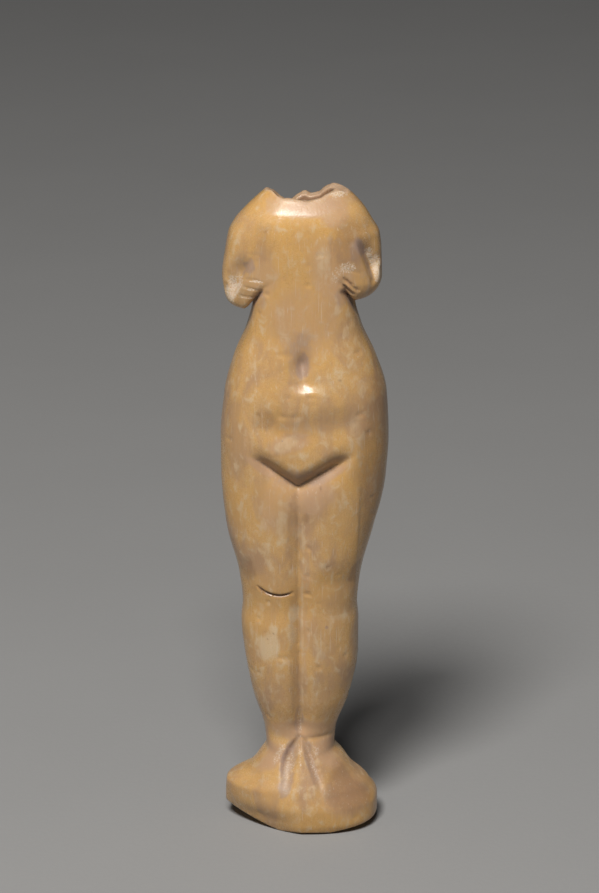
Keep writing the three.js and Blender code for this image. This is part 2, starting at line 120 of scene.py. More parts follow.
# The forms of the figure by name. Left and right are the viewer's.
BACK_FULLNESS = 2.4
ARM_LEFT = {"bottom": 820, "crotch": 853, "inner": 55, "outer": 86}
ARM_RIGHT = {"bottom": 834, "crotch": 859, "inner": 57, "outer": 80}
HOLLOW_LEFT = {"elbow": (-103, 834), "pit": (-77, 894), "width": 30}
HOLLOW_RIGHT = {"elbow": (106, 861), "pit": (84, 921), "width": 25}
BELLY_TIP = {"x": -6, "z": 556, "rise": 48, "left": 66, "right": 78, "bend": 0.95}
BELLY_LEDGE = {"above": 34, "below": 20}
NAVEL = {"x": 1, "z": 746, "across": 23, "up": 52, "down": 45}
BELLY_FOLD = {"x": 4, "z": 650, "sag": 0.0012, "half_height": 22, "depth": 5.4, "uneven": 1.2}
TORSO_TOP = 900
LEG_TOP, LEG_FOOT, KNEE_HEIGHT = 552, 140, 384
LEG_VALLEY = {"x": -5, "half_width": 13, "wider_above": 8, "crease_width": 4}
SEAT = {"low": 470, "high": 620, "sag": 12, "middle": 42, "depth": 11.5}
BACK_WIDTHS = {"cleft": 12, "fold": 20, "parting": 13, "spine": 18}
KNEE_DIP = {"above": 16, "half_height": 22, "depth": 3.6}
THIGH_FACET = {"x": 82, "z": 470, "lean": 0.03, "depth": 1.6}
ANKLE_CREASE = {"z": 141, "climb": 0.04, "half_width": 3.5, "depth": 1.4}
FLANK = {"top": 853, "bottom": 809, "inner_top": 54, "inner_bottom": 81, "run_out": 39, "reach": 11}
NECK_HOLLOW = {"x": 8, "y": 1, "z": 986, "wide": 40.8, "narrow": 25.0, "deep": 33.8}
SOLE = {"side": 115, "front": -108, "flat_left": 34, "flat_right": 44, "flat_front": -62}
SOLE_LIFT = {"left": 25.4, "right": 14.6, "front": 10}

# Knife cuts on the front: from, over and to, each x and z, then half their width and their depth. Those above
# HANDS_LOW part the fingers, and the one below it marks the knee.
HANDS_LOW = 500
KNIFE_CUTS = [
    ((-82, 872), (-70, 873), (-54, 869), 2.3, 1.5),
    ((-86, 860), (-74, 859), (-60, 855), 2.3, 1.5),
    ((-93, 845), (-80, 844), (-64, 844), 2.3, 1.4),
    ((60, 877), (70, 866), (84, 852), 3.4, 4.4),
    ((59, 866), (67, 856), (79, 846), 3.2, 3.6),
    ((60, 889), (71, 887), (83, 881), 2.4, 1.0),
    ((-67, 396), (-44, 377), (-12, 388), 2.9, 5.2),
]

# The chalky deposit in each arm's hollow: where it begins and ends aside of the edge, and how far it climbs.
HOLLOW_DEPOSITS = [
    (HOLLOW_LEFT, -6, 20, 0.72),
    (HOLLOW_RIGHT, 1, 27, 1.1),
]

# Grooves that part the feet: places along each, as x, z, half the width and the depth.
FOOT_CUTS = [
    [(-3, 142, 6, 3), (-13, 124, 11, 8), (-19, 104, 14, 8.5), (-22, 86, 13, 4.5), (-25, 58, 10, 0)],
    [(4, 139, 5, 3), (12, 120, 8, 6), (18, 102, 8.5, 5), (25, 84, 8, 3), (32, 58, 6, 0)],
]

# The colours of the lights and the sky, the share of the figure's height that the lights point at, and the
# width of the camera's sensor in millimetres.
LIGHT_COLOUR = (1.0, 0.975, 0.94)
SKY_COLOUR = (0.93, 0.95, 1.0)
LIGHT_AIM = 0.55
SENSOR_WIDTH = 36.0

# How near the surface the wear and the ends are worked out, and the heights beyond which the ends are.
WEAR_REACH, ENDS_REACH = 9, 12
NECK_END, SOLE_END = 930, 60

# The grid's room round the figure, its stretch along x, y and z, and the bands of height in which its level
# lines lie closer: at the knee slit, and from the hands to the break.
GRID_MARGIN = 8
GRID_STRETCH = (1, 1.08, 1.12)
FINE_BANDS = ((368, 404), (838, 1010))

# Places on the front where the surface differs, for each kind: x, z, half the width, half the height,
# turn to the right in degrees, strength.
PLACES = {
    # One patina place, at x 110 and z 886 on the wall of the right hollow, is painted shade that dulls the
    # light falling on that wall.
    "patina": [
        (2, 746, 11, 30, 4, 0.8), (-2, 762, 24, 44, 4, 0.5), (-76, 892, 11, 17, 26, 0.75),
        (-86, 884, 20, 34, 30, 0.4), (85, 917, 8, 18, -18, 0.95), (82, 902, 14, 34, -18, 0.5),
        (-20, 110, 13, 32, 20, 1.0), (14, 106, 8, 36, -20, 0.75), (-23, 80, 12, 24, 12, 0.85),
        (110, 886, 12, 28, -18, 0.6), (-2, 131, 24, 11, 0, 0.55), (-4, 173, 8, 42, 0, 0.65),
        (-2, 574, 52, 20, 0, 0.5), (60, 846, 14, 16, 0, 0.5), (-60, 842, 12, 14, 0, 0.4),
        (84, 852, 26, 14, 0, 0.35),
    ],
    "pink": [
        (-60, 590, 34, 9, 35, 0.9), (38, 575, 42, 9, -32, 1.0), (4, 535, 34, 26, 0, 0.8),
        (-26, 530, 44, 62, 8, 0.6), (26, 548, 30, 26, -30, 0.7), (6, 440, 9, 90, 0, 0.45),
        (12, 975, 52, 13, 0, 0.9), (46, 972, 30, 26, 40, 0.7), (-38, 980, 18, 14, -40, 0.6),
        (50, 116, 44, 24, 30, 1.0), (-56, 108, 44, 20, -28, 0.95), (0, 156, 60, 20, 0, 0.8),
        (70, 60, 44, 40, 0, 0.7), (4, 330, 8, 120, 0, 0.4), (52, 870, 13, 24, 30, 0.7),
        (-18, 630, 40, 18, -16, 0.75), (30, 660, 70, 16, -4, 0.35), (2, 810, 62, 70, 0, 0.55),
        (44, 885, 44, 62, -10, 0.6), (-52, 880, 26, 44, 0, 0.45),
    ],
    "pale": [
        (-50, 300, 20, 30, 6, 0.95), (-44, 322, 9, 16, 0, 0.7), (-12, 352, 10, 16, 0, 0.8),
        (-14, 318, 9, 26, 0, 0.6), (-30, 500, 10, 46, 0, 0.6), (-48, 455, 8, 30, 0, 0.4),
        (3, 470, 3.5, 50, 0, 0.55), (1, 300, 3, 150, 0, 0.5), (58, 345, 22, 6, 0, 0.5),
        (26, 300, 14, 34, 0, 0.35), (22, 225, 10, 34, 0, 0.4), (18, 430, 18, 14, 0, 0.35),
        (-24, 628, 22, 13, -30, 0.6), (78, 655, 12, 34, 0, 0.4), (-8, 612, 14, 8, 0, 0.5),
        (42, 722, 24, 34, 30, 0.35), (30, 905, 12, 26, 10, 0.4),
    ],
    "deposit": [
        (92, 930, 4, 18, 0, 0.4), (66, 891, 15, 10, 0, 0.85), (50, 880, 8, 14, 20, 0.5),
        (-67, 870, 13, 2.2, 4, 1.1), (-73, 857, 13, 2.2, 4, 1.1), (-79, 843, 14, 2.2, 0, 0.9),
        (-34, 118, 5, 22, 30, 0.7), (-2, 116, 3, 26, -6, 0.7), (21, 122, 8, 12, 0, 0.6),
        (-3, 170, 4, 44, 0, 0.6), (-19, 100, 9, 30, 18, 0.55), (17, 102, 6, 30, -22, 0.5),
        (-23, 78, 9, 20, 10, 0.35), (48, 997, 24, 10, 20, 0.8), (4, 986, 34, 4, 0, 0.6),
    ],
    # The dark places are mostly painted shade: along the right side and the outer edges of the body and feet,
    # in the fold of the belly, under the lower edge of the belly, above the knees and along the valley
    # between the legs. Only the smallest, a few thousandths across, are stains.
    "dark": [
        (-11, 480, 12, 80, 0, 0.45), (-9, 300, 11, 150, 0, 0.42), (6, 400, 10, 20, 0, 0.3),
        (52, 432, 24, 12, 0, 0.3), (-54, 664, 22, 20, 0, 0.5), (40, 668, 60, 26, -6, 0.36),
        (-12, 648, 44, 16, 8, 0.34), (-36, 590, 42, 9, 35, 0.6), (34, 592, 50, 9, -30, 0.6),
        (-6, 572, 20, 14, 0, 0.6), (76, 70, 50, 46, 0, 0.66), (72, 925, 40, 48, 0, 0.55),
        (-62, 928, 32, 42, 0, 0.42), (-78, 72, 30, 30, 0, 0.36), (120, 560, 44, 220, 0, 0.55),
        (100, 250, 34, 130, 0, 0.3), (-106, 56, 16, 30, 0, 0.35), (-66, 392, 12, 5, -20, 0.35),
        (-80, 420, 14, 26, -10, 0.55), (82, 412, 14, 24, 10, 0.6), (-112, 640, 14, 80, 0, 0.35),
        (-8, 500, 6, 34, 0, 0.35), (6, 510, 7, 12, 0, 0.5), (28, 558, 3, 4, 0, 0.7),
        (-51, 310, 2.5, 2.5, 0, 0.8), (-42, 322, 2, 2, 0, 0.7), (-52, 944, 3, 4, 0, 0.6),
        (56, 725, 3, 3, 0, 0.6), (-36, 617, 4, 4, 0, 0.4),
    ],
}


def step(low, high, value):
    """0 below low, 1 above high, smooth between them."""
    t = np.clip((value - low) / (high - low), 0, 1)
    return t * t * (3 - 2 * t)


def smooth_max(a, b, radius):
    """The larger of two fields, rounded where they meet."""
    overlap = np.maximum(radius - np.abs(a - b), 0) / radius
    return np.maximum(a, b) + overlap * overlap * radius / 4


def bell(distance, width):
    """1 at no distance, falling off smoothly on both sides."""
    return np.exp(-((distance / width) ** 2))


def curve_through(rows, column):
    """A smooth curve through one column of a table, with no overshoot between its stations."""
    at = np.array([row[0] for row in rows], float)
    value = np.array([row[column] for row in rows], float)
    slope = np.diff(value) / np.diff(at)
    before, after = slope[:-1], slope[1:]
    total = np.where(before + after == 0, 1, before + after)
    inner = np.where(before * after <= 0, 0, 2 * before * after / total)
    tangent = np.concatenate(([slope[0]], inner, [slope[-1]]))

    def curve(place):
        h = np.clip(place, at[0], at[-1])
        i = np.clip(np.searchsorted(at, h) - 1, 0, len(at) - 2)
        span = at[i + 1] - at[i]
        t = (h - at[i]) / span
        rise = t * t * (3 - 2 * t)
        return (
            value[i] * (1 - rise)
            + value[i + 1] * rise
            + tangent[i] * span * t * (1 - t) ** 2
            - tangent[i + 1] * span * t * t * (1 - t)
        )

    return curve


def loft(rows):
    """A mass lofted through stations: the distance from its surface, measured out from its own axis."""
    left, right, front, back, middle, full_left, full_right = (curve_through(rows, c) for c in range(1, 8))

    def mass(x, y, z):
        deep = y - middle(z)
        across = np.where(x < 0, left(z), right(z))
        depth = np.where(deep < 0, front(z) + middle(z), back(z) - middle(z))
        fullness = np.where(deep < 0, np.where(x < 0, full_left(z), full_right(z)), BACK_FULLNESS)
        out = np.hypot(x, deep)
        reach = (np.abs(x / across) ** fullness + np.abs(deep / depth) ** fullness) ** (1 / fullness)
        near_axis = reach < 1e-6
        return np.where(near_axis, -np.minimum(across, depth), out - out / np.where(near_axis, 1, reach))

    return mass


body_mass = loft(BODY)
chest_mass = loft(CHEST)
break_in_front = curve_through(BREAK, 1)
break_behind = curve_through(BREAK, 2)


def lumps(x, y, z, size, seed):
    """Smooth random heights between -1 and 1, whose bumps are about size apart."""
    side, shift = 32, 7.3
    table = np.random.default_rng(seed).uniform(-1, 1, (side, side, side))
    places = [np.asarray(place) / size + shift for place in (x, y, z)]
    cells = [np.floor(place).astype(int) for place in places]
    parts = [place - cell for place, cell in zip(places, cells)]
    parts = [part * part * (3 - 2 * part) for part in parts]
    total = 0
    for corner in np.ndindex(2, 2, 2):
        weight = 1
        for part, far in zip(parts, corner):
            weight = weight * (part if far else 1 - part)
        total = total + weight * table[tuple((cell + far) % side for cell, far in zip(cells, corner))]
    return total


def arm_underside(x):
    """The underside of an arm: level under the elbow, climbing to the crotch beside the body."""

    def line(arm):
        climb = 1 - step(arm["inner"], arm["outer"], np.abs(x))
        return arm["bottom"] + (arm["crotch"] - arm["bottom"]) * climb

    return np.where(x < 0, line(ARM_LEFT), line(ARM_RIGHT))


def hollow_place(x, z, hollow):
    """Where a place lies in a hollow: how far along it, elbow to pit, and how far aside of its edge."""
    (ex, ez), (px, pz) = hollow["elbow"], hollow["pit"]
    length = math.hypot(px - ex, pz - ez)
    ux, uz = (px - ex) / length, (pz - ez) / length
    along = ((x - ex) * ux + (z - ez) * uz) / length
    aside = ((x - ex) * uz - (z - ez) * ux) * math.copysign(1, ex)
    return along, aside


def arm_hollows(x, z, depth):
    """The hollows between the upper arms and the folded forearms: crisp on the forearm's side, with a floor
    that narrows to a point at the elbow."""
    cut = 0
    for hollow in (HOLLOW_LEFT, HOLLOW_RIGHT):
        along, aside = hollow_place(x, z, hollow)
        ends = step(-0.1, 0.45, along) * (1 - step(0.7, 1.25, along))
        width = hollow["width"] * (0.3 + 0.7 * step(-0.1, 0.6, along))
        cut = cut + ends * step(-5, 2, aside) * (1 - step(0, width, aside))
    return depth * cut


def belly_line(x):
    """The lower edge of the belly: how far out a place is, 0 at the tip and 1 at each end, and its height."""
    side = x - BELLY_TIP["x"]
    reach = np.hypot(side, 3) / np.where(side < 0, BELLY_TIP["left"], BELLY_TIP["right"])
    return reach, BELLY_TIP["z"] + BELLY_TIP["rise"] * reach ** BELLY_TIP["bend"]


def belly_cut(x, z, depth):
    """The belly ends in a point between the thighs, and stands proud of them over a crisp ledge."""
    reach, height = belly_line(x)
    above = z - height
    under = (1 - np.clip(above / BELLY_LEDGE["above"], 0, 1)) ** 2
    ledge = np.exp(np.minimum(above, 0) / BELLY_LEDGE["below"])
    return depth * np.where(above > 0, under, ledge) * (1 - step(0.6, 1.15, reach))


def leg_valley(x, z, depth):
    """The valley between the legs, with a fine crease along its bottom."""
    line = x - LEG_VALLEY["x"] * (1 - step(150, 500, 550 - z))
    width = LEG_VALLEY["half_width"] + LEG_VALLEY["wider_above"] * step(300, 480, z)
    ends = step(LEG_FOOT - 6, LEG_FOOT + 24, z) * (1 - step(LEG_TOP - 60, LEG_TOP + 8, z))
    crease = 0.14 * np.clip(1 - np.abs(line) / LEG_VALLEY["crease_width"], 0, 1)
    return depth * ends * (0.8 * bell(line, width) + crease)


def navel(x, z, depth):
    """An upright almond of a dish with a pit and a slit, over a full lower lip that leans to the right."""
    rise = z - NAVEL["z"]
    lip = step(-NAVEL["down"], -NAVEL["down"] + 20, rise)
    across = (x - NAVEL["x"] - 7 * (1 - step(-NAVEL["down"], -8, rise))) / NAVEL["across"]
    dish = lip * (1 - step(-6, NAVEL["up"], rise)) * bell(across, 1)
    pit = bell(np.hypot(across * 2.2, rise / 15), 1)
    slit = bell(across * 5, 1) * step(-30, -14, rise) * (1 - step(-4, 10, rise))
    return depth * (0.52 * dish + 0.4 * pit + 0.1 * slit)


def path_place(x, z, path):
    """How far a place is from a path of straight runs, and how far along the path, from 0 to 1."""
    nearest, along_path = None, None
    runs = len(path) - 1
    for n, ((ax, az), (bx, bz)) in enumerate(zip(path, path[1:])):
        dx, dz = bx - ax, bz - az
        along = np.clip(((x - ax) * dx + (z - az) * dz) / (dx * dx + dz * dz), 0, 1)
        away = np.hypot(x - ax - along * dx, z - az - along * dz)
        if nearest is None:
            nearest, along_path = away, along / runs
        else:
            closer = away < nearest
            nearest = np.where(closer, away, nearest)
            along_path = np.where(closer, (n + along) / runs, along_path)
    return nearest, along_path


def bent_path(start, over, end, runs=10):
    """Points of a curve that leaves start towards over and comes to end."""
    points = []
    for n in range(runs + 1):
        t = n / runs
        weights = (1 - t) ** 2, 2 * t * (1 - t), t * t
        points.append(tuple(sum(w * p for w, p in zip(weights, place)) for place in zip(start, over, end)))
    return points


def knife_cuts(x, z):
    """V-shaped cuts that part the fingers and mark the knee, running out to nothing at both ends."""
    cut = 0
    for start, over, end, half_width, depth in KNIFE_CUTS:
        away, t = path_place(x, z, bent_path(start, over, end))
        cut = np.maximum(cut, depth * np.clip(1 - away / half_width, 0, 1) * (1 - (2 * t - 1) ** 4))
    return cut


def foot_cuts(x, z):
    """Two round-bottomed grooves on either side of a narrow tongue, running out towards the toes."""
    cut = 0
    for places in FOOT_CUTS:
        away, t = path_place(x, z, [place[:2] for place in places])
        stops = np.linspace(0, 1, len(places))
        half_width = np.interp(t, stops, [place[2] for place in places])
        depth = np.interp(t, stops, [place[3] for place in places])
        cut = np.maximum(cut, depth * np.clip(1 - (away / half_width) ** 2, 0, 1) ** 1.5)
    return cut


def knee_dip(x, z):
    """A shallow dip over the right knee."""
    level = bell(z - KNEE_HEIGHT - KNEE_DIP["above"], KNEE_DIP["half_height"])
    return KNEE_DIP["depth"] * level * step(8, 34, x) * (1 - step(60, 90, x))


def belly_fold(x, z):
    """A soft level fold between the navel and the lower edge of the belly."""
    ends = 1 - step(46, 96, np.abs(x - BELLY_FOLD["x"]))
    depth = BELLY_FOLD["depth"] + BELLY_FOLD["uneven"] * lumps(x, 0, z, 30, 31)
    return depth * bell(z - BELLY_FOLD["z"] - BELLY_FOLD["sag"] * x * x, BELLY_FOLD["half_height"]) * ends


def flank_cut(x, z, depth):
    """Below the arms the flanks are pared back, so that the front of the waist keeps an edge."""
    down = np.clip((FLANK["top"] - z) / (FLANK["top"] - FLANK["bottom"]), 0, 1.6)
    edge = FLANK["inner_top"] + (FLANK["inner_bottom"] - FLANK["inner_top"]) * down
    ends = step(FLANK["bottom"] - FLANK["run_out"], FLANK["bottom"], z)
    ends = ends * (1 - step(FLANK["top"] - 7, FLANK["top"] + 9, z))
    outside = np.clip((np.abs(x) - edge) / FLANK["reach"], 0, 1.5)
    return depth * outside * ends


def thigh_facet(x, z):
    """A long flat pared down the outside of the right thigh, with a faint upright edge."""
    edge = step(0, 5, x - THIGH_FACET["x"] - THIGH_FACET["lean"] * (z - THIGH_FACET["z"]))
    ends = step(370, 420, z) * (1 - step(520, 580, z))
    return THIGH_FACET["depth"] * edge * (1 - step(94, 118, x)) * ends


def ankle_crease(x, z):
    """The line where the right foot meets the leg."""
    line = bell(z - ANKLE_CREASE["z"] - ANKLE_CREASE["climb"] * x, ANKLE_CREASE["half_width"])
    return ANKLE_CREASE["depth"] * line * step(4, 12, x) * (1 - step(46, 60, x))


def back_carving(x, z):
    """The plainer back: the cleft of the seat, the fold under it, the parting of the legs, a low spine."""
    in_seat = step(SEAT["low"] - 20, SEAT["low"] + 40, z)
    cleft = bell(x, BACK_WIDTHS["cleft"]) * in_seat * (1 - step(SEAT["high"] - 40, SEAT["high"] + 30, z))
    sag = SEAT["low"] + SEAT["sag"] * ((np.abs(x) - SEAT["middle"]) / SEAT["middle"]) ** 2
    fold = 0.2 * bell(z - sag, BACK_WIDTHS["fold"]) * (1 - step(60, 100, np.abs(x)))
    parting = 0.6 * bell(x, BACK_WIDTHS["parting"]) * step(LEG_FOOT - 20, LEG_FOOT + 30, z) * (1 - in_seat)
    spine = 0.25 * bell(x, BACK_WIDTHS["spine"]) * step(640, 740, z) * (1 - step(860, 960, z))
    return SEAT["depth"] * (cleft + fold + parting + spine)


def break_height(x, y):
    """The break at the neck: it dips in front and lies lower behind, with a rough and chipped edge."""
    behind = step(-28, 28, y)
    height = break_in_front(x) * (1 - behind) + break_behind(x) * behind
    chips = 1.3 * lumps(x, y, 0, 13, 11) + 0.8 * lumps(x, y, 0, 6, 12)
    return height - 1 + chips


def neck_hollow(x, y, z):
    """The hollow in the break, as a field that is negative inside it."""
    wide, narrow, deep = NECK_HOLLOW["wide"], NECK_HOLLOW["narrow"], NECK_HOLLOW["deep"]
    out = np.sqrt(
        ((x - NECK_HOLLOW["x"]) / wide) ** 2
        + ((y - NECK_HOLLOW["y"]) / narrow) ** 2
        + ((z - NECK_HOLLOW["z"]) / deep) ** 2
    )
    return (out - 1) * narrow


def sole_height(x, y):
    """The underside: a flat to stand on, curving up to both ends and to the front."""
    flat = np.where(x < 0, SOLE["flat_left"], SOLE["flat_right"])
    lift = np.where(x < 0, SOLE_LIFT["left"], SOLE_LIFT["right"])
    sideways = np.maximum(np.abs(x) - flat, 0) / (SOLE["side"] - flat)
    forwards = np.maximum(SOLE["flat_front"] - y, 0) / (SOLE["flat_front"] - SOLE["front"])
    return lift * sideways**1.05 + SOLE_LIFT["front"] * forwards**1.6


class Carving:
    """The figure's form as a field that is negative inside, in thousandths of its height."""

    def __init__(self, sizes):
        self.hollow = sizes.arm_hollow_depth / SHARE
        self.belly = sizes.belly_cut_depth / SHARE
        self.valley = sizes.leg_valley_depth / SHARE
        self.navel = sizes.navel_depth / SHARE
        self.flank = sizes.flank_cut_depth / SHARE
        self.waves = sizes.hand_waves / SHARE

    def front_depth(self, x, z):
        return (
            arm_hollows(x, z, self.hollow)
            + belly_cut(x, z, self.belly)
            + leg_valley(x, z, self.valley)
            + navel(x, z, self.navel)
            + knife_cuts(x, z)
            + foot_cuts(x, z)
            + knee_dip(x, z)
            + belly_fold(x, z)
            + thigh_facet(x, z)
            + ankle_crease(x, z)
        )

    def mass(self, x, y, z):
        """The lofted masses with their cuts, before wear."""
        in_front, behind = step(0, 14, -y), step(0, 14, y)
        torso = smooth_max(body_mass(x, y, z), z - TORSO_TOP, 10)
        torso = torso + flank_cut(x, z, self.flank) * in_front
        chest = smooth_max(chest_mass(x, y, z), arm_underside(x) - z, 20)
        return np.minimum(torso, chest) + self.front_depth(x, z) * in_front + back_carving(x, z) * behind

    def wear(self, x, y, z):
        """The low waves of hand work and polish, and small dents."""
        waves = lumps(x, y, z * 0.7, 64, 3) + 0.5 * lumps(x, y, z * 0.6, 27, 5)
        waves = waves + 0.16 * lumps(x, y, z * 0.5, 11, 7)
        dents = step(0.62, 0.95, lumps(x, y, z, 15, 9)) * 1.1
        return self.waves * waves + dents

    def close(self, surface, x, y, z):
        """The ends of the form: the break, the hollow in it and the sole."""
        surface = np.maximum(surface, z - break_height(x, y))
        rough = 0.9 * lumps(x, y, z, 9, 13)
        surface = np.maximum(surface, rough - neck_hollow(x, y, z))
        return np.maximum(surface, sole_height(x, y) - z)

    def at(self, x, y, z):
        return self.close(self.mass(x, y, z) + self.wear(x, y, z), x, y, z)

    def on_grid(self, xs, ys, zs):
        """The field on a grid. The wear and the ends are worked out only where they matter."""
        x, z = xs[:, None, None], zs[None, None, :]
        y = ys[None, :, None]
        field = self.mass(x, y, z)
        i, j, k = np.nonzero(np.abs(field) < WEAR_REACH)
        field[i, j, k] += self.wear(xs[i], ys[j], zs[k])
        i, j, k = np.nonzero((field < ENDS_REACH) & ((z > NECK_END) | (z < SOLE_END)))
        field[i, j, k] = self.close(field[i, j, k], xs[i], ys[j], zs[k])
        return field

    def slope(self, points, reach=0.8):
        """The direction in which the field grows, at each point."""
        shifts = np.eye(3) * reach
        grown = [self.at(*(points + shift).T) - self.at(*(points - shift).T) for shift in shifts]
        return np.stack(grown, 1) / (2 * reach)


def grid_lines(low, high, spacing, bands=()):
    """Grid lines from one end to the other, closer together inside the bands (low, high, spacing)."""
    lines = [low]
    while lines[-1] < high:
        here = lines[-1]
        lines.append(here + next((gap for start, end, gap in bands if start <= here < end), spacing))
    return np.array(lines)


def close_diagonal_gaps(field):
    """Fill squares of the grid whose filled corners touch only across, which would pinch the surface."""
    changed = True
    while changed:
        changed = False
        for u, v in ((0, 1), (1, 2), (0, 2)):
            square = []
            for du, dv in ((0, 0), (1, 0), (1, 1), (0, 1)):
                part = [slice(None)] * 3
                part[u] = slice(1, None) if du else slice(None, -1)
                part[v] = slice(1, None) if dv else slice(None, -1)
                square.append(field[tuple(part)])
            a, b, c, d = (corner < 0 for corner in square)
            pinched = (a == c) & (b == d) & (a != b)
            if pinched.any():
                changed = True
                for corner in square:
                    corner[pinched & (corner >= 0)] = -1e-3


def edge_crossings(carving, field, lines):
    """Every grid edge that the surface crosses: its axis, its lower corner, the crossing, whether the lower
    end is inside, and the way that the surface faces there."""
    found = []
    for axis in range(3):
        low, high = [slice(None)] * 3, [slice(None)] * 3
        low[axis], high[axis] = slice(None, -1), slice(1, None)
        below, above = field[tuple(low)], field[tuple(high)]
        index = np.argwhere((below < 0) != (above < 0))
        start = np.stack([lines[n][index[:, n]] for n in range(3)], 1)
        end = start.copy()
        end[:, axis] = lines[axis][index[:, axis] + 1]
        value = below[tuple(index.T)], above[tuple(index.T)]
        low_t, high_t = np.zeros(len(index)), np.ones(len(index))
        low_value, high_value = (np.array(v, float) for v in value)
        for _ in range(3):
            t = low_t + (high_t - low_t) * low_value / (low_value - high_value)
            here = carving.at(*(start + (end - start) * t[:, None]).T)
            same = (here < 0) == (low_value < 0)
            low_t, low_value = np.where(same, t, low_t), np.where(same, here, low_value)
            high_t, high_value = np.where(same, high_t, t), np.where(same, high_value, here)
        gap = low_value - high_value
        t = low_t + (high_t - low_t) * low_value / np.where(gap == 0, 1, gap)
        point = start + (end - start) * t[:, None]
        found.append((axis, index, point, value[0] < 0))
    points = np.concatenate([point for _, _, point, _ in found])
    slope = carving.slope(points)
    slope /= np.maximum(np.linalg.norm(slope, axis=1, keepdims=True), 1e-9)
    sizes = np.cumsum([len(point) for _, _, point, _ in found])[:-1]
    return [entry + (facing,) for entry, facing in zip(found, np.split(slope, sizes))]


def carved_surface(carving, lines):
    """The surface of the form on a grid of boxes: a vertex in each box that it crosses, set on an edge of the
    form if the box has one, and a face round each grid edge that it crosses."""
    field = carving.on_grid(*lines)
    close_diagonal_gaps(field)
    shape = field.shape
    around = ((0, 0), (-1, 0), (-1, -1), (0, -1))
    owners, points, facings, quads = [], [], [], []
    for axis, index, point, inward, facing in edge_crossings(carving, field, lines):
        u, v = (axis + 1) % 3, (axis + 2) % 3
        corners = []
        for du, dv in around:
            box = index.copy()
            box[:, u] += du
            box[:, v] += dv
            corners.append(np.ravel_multi_index(tuple(box.T), shape))
            owners.append(corners[-1])
            points.append(point)
            facings.append(facing)
        quad = np.stack(corners, 1)
        quads.append(np.where(inward[:, None], quad, quad[:, ::-1]))
    owners, quads = np.concatenate(owners), np.concatenate(quads)
    points, facings = np.concatenate(points), np.concatenate(facings)
    boxes, owner = np.unique(owners, return_inverse=True)
    count = np.bincount(owner)
    middle = np.stack([np.bincount(owner, points[:, n]) for n in range(3)], 1) / count[:, None]
    gap = ((points - middle[owner]) * facings).sum(1)
    matrix = np.zeros((len(boxes), 3, 3))
    reach = np.zeros((len(boxes), 3))
    hold = 0.06
    for a in range(3):
        reach[:, a] = np.bincount(owner, facings[:, a] * gap)
        for b in range(3):
            matrix[:, a, b] = np.bincount(owner, facings[:, a] * facings[:, b]) + (hold if a == b else 0)
    vertex = middle + np.linalg.solve(matrix, reach[:, :, None])[:, :, 0]
    place = np.unravel_index(boxes, shape)
    for n in range(3):
        vertex[:, n] = np.clip(vertex[:, n], lines[n][place[n]], lines[n][place[n] + 1])
    return vertex, np.searchsorted(boxes, quads)


def openness(carving, points, facing, steepness, reach):
    """How open the surface is at each point: 1 on a plane, less in a hollow, measured a reach outside it."""
    outside = carving.at(*(points + facing * reach).T)
    return outside / (reach * steepness)


def mark_places(marks, x, z, ragged, in_front):
    """The places in the table, each an ellipse with a ragged border."""
    for kind, places in PLACES.items():
        for px, pz, half_x, half_z, turn, strength in places:
            c, s = math.cos(math.radians(turn)), math.sin(math.radians(turn))
            across, up = (x - px) * c - (z - pz) * s, (x - px) * s + (z - pz) * c
            away = np.hypot(across / half_x, up / half_z) + ragged * min(1, 12 / half_x)
            here = strength * (1 - step(0.55, 1.15, away)) * in_front
            marks[kind] = np.maximum(marks[kind], here)


def mark_carving(marks, x, z, ragged, not_behind):
    """The deposit on the floors of the arms' hollows, and painted shade in the knife cuts and on the lip
    below the knee cut.
    """
    for hollow, first, last, end in HOLLOW_DEPOSITS:
        along, aside = hollow_place(x, z, hollow)
        inside = step(first, first + 3, aside + 4 * ragged)
        inside = inside * (1 - step(0.5 * last, last, aside + 12 * ragged))
        inside = inside * step(-0.12, 0.02, along) * (1 - step(0.6 * end, end, along + ragged))
        marks["deposit"] = np.maximum(marks["deposit"], inside * not_behind)
    # Painted shade: the cuts are darkened, and on the leg the lip just below the knee cut as well, so that it
    # does not look lit.
    on_leg = z < HANDS_LOW
    cut_and_lip = knife_cuts(x, z) + np.where(on_leg, 0.8, 0) * knife_cuts(x, z + 3)
    strength = np.where(on_leg, 0.95, np.where(x > 0, 0.7, 0.15))
    marks["dark"] = np.maximum(marks["dark"], step(0.6, 3.2, cut_and_lip) * not_behind * strength)


def mark_break(marks, x, y, z):
    """The broken edge of the neck and the hollow in it, with painted shade at the bottom of the hollow."""
    height = break_height(x, y)
    on_break = 1 - step(1.2, 3.5, np.abs(z - height))
    in_hollow = (1 - step(1.0, 3.0, np.abs(neck_hollow(x, y, z)))) * step(940, 948, z)
    marks["broken"] = np.clip(np.maximum(on_break * step(940, 950, z), in_hollow), 0, 1)
    # Painted shade: the hollow darkens below the break, where the front lip shades it.
    marks["inside"] = in_hollow * step(0.3, 5, height - z)


def finish_marks(carving, points):
    """How strongly each kind of surface shows at each point."""
    x, y, z = points.T
    slope = carving.slope(points)
    steepness = np.maximum(np.linalg.norm(slope, axis=1), 1e-6)
    facing = slope / steepness[:, None]
    ragged = 0.22 * lumps(x, y, z, 11, 21) + 0.16 * lumps(x, y, z, 5, 22)
    marks = {kind: np.zeros(len(points)) for kind in PLACES}
    mark_places(marks, x, z, ragged, step(0.1, 0.45, -facing[:, 1]))
    mark_carving(marks, x, z, ragged, step(-0.25, 0.1, -facing[:, 1]))
    near, far, within = (openness(carving, points, facing, steepness, reach) for reach in (4, 11, -4))
    closed = np.clip(1.1 - near, 0, 1) * 0.7 + np.clip(1.1 - far, 0, 1) * 0.7
    patina = np.maximum(marks["patina"], step(0.25, 1.1, closed) * 0.75)
    marks["patina"] = patina * (1 - 0.6 * marks["deposit"])
    marks["worn"] = step(0.05, 0.5, 1 - within)
    mark_break(marks, x, y, z)
    return marks


